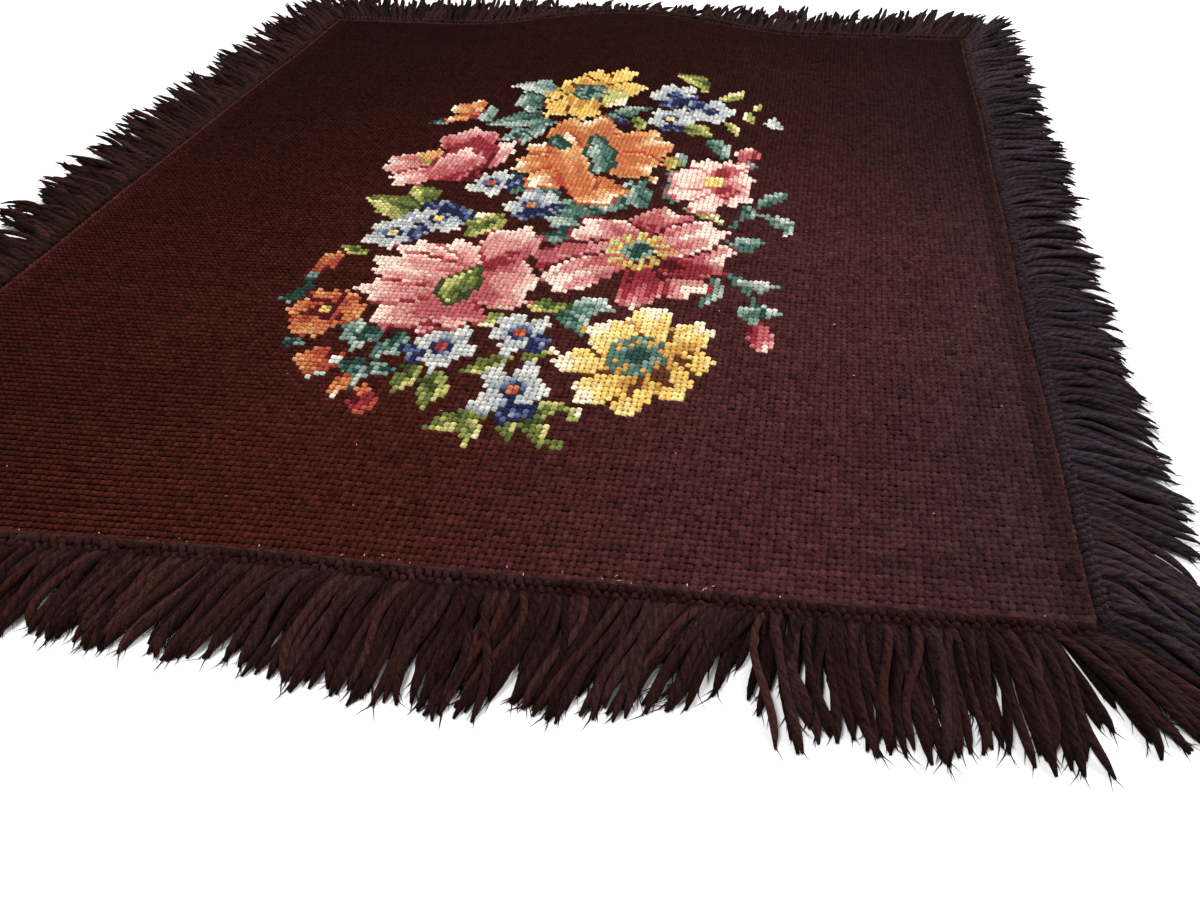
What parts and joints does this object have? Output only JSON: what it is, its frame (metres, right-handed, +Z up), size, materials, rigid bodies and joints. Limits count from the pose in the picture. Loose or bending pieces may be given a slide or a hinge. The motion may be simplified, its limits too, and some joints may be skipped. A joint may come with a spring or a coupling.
{
  "type": "needlepoint canvas panel",
  "caption": "Nearly square wool needlepoint panel, dark ground with a bouquet in tent stitch, cut yarn fringe on all sides, lying flat with a low swell at its back edge.",
  "frame": {"origin": "on the surface that the panel lies on, under the middle of the whole fringed outline", "axes": "+Z up out of the stitched face, +Y from the front edge to the back edge, +X along the front edge to the right, halfway between the panel's slightly skewed rows and columns"},
  "size_m": [0.5767, 0.5949, 0.0144],
  "materials": {
    "stitched_wool": "dark brown wool tent stitch on canvas, with flowers in coloured wool",
    "fringe_yarn": "thick plied dark brown wool yarn, cut ends"
  },
  "bodies": {
    "root": {"canvas_panel": "stitched_wool", "fringe_front": "fringe_yarn", "fringe_right": "fringe_yarn", "fringe_back": "fringe_yarn", "fringe_left": "fringe_yarn"}
  },
  "joints": []
}
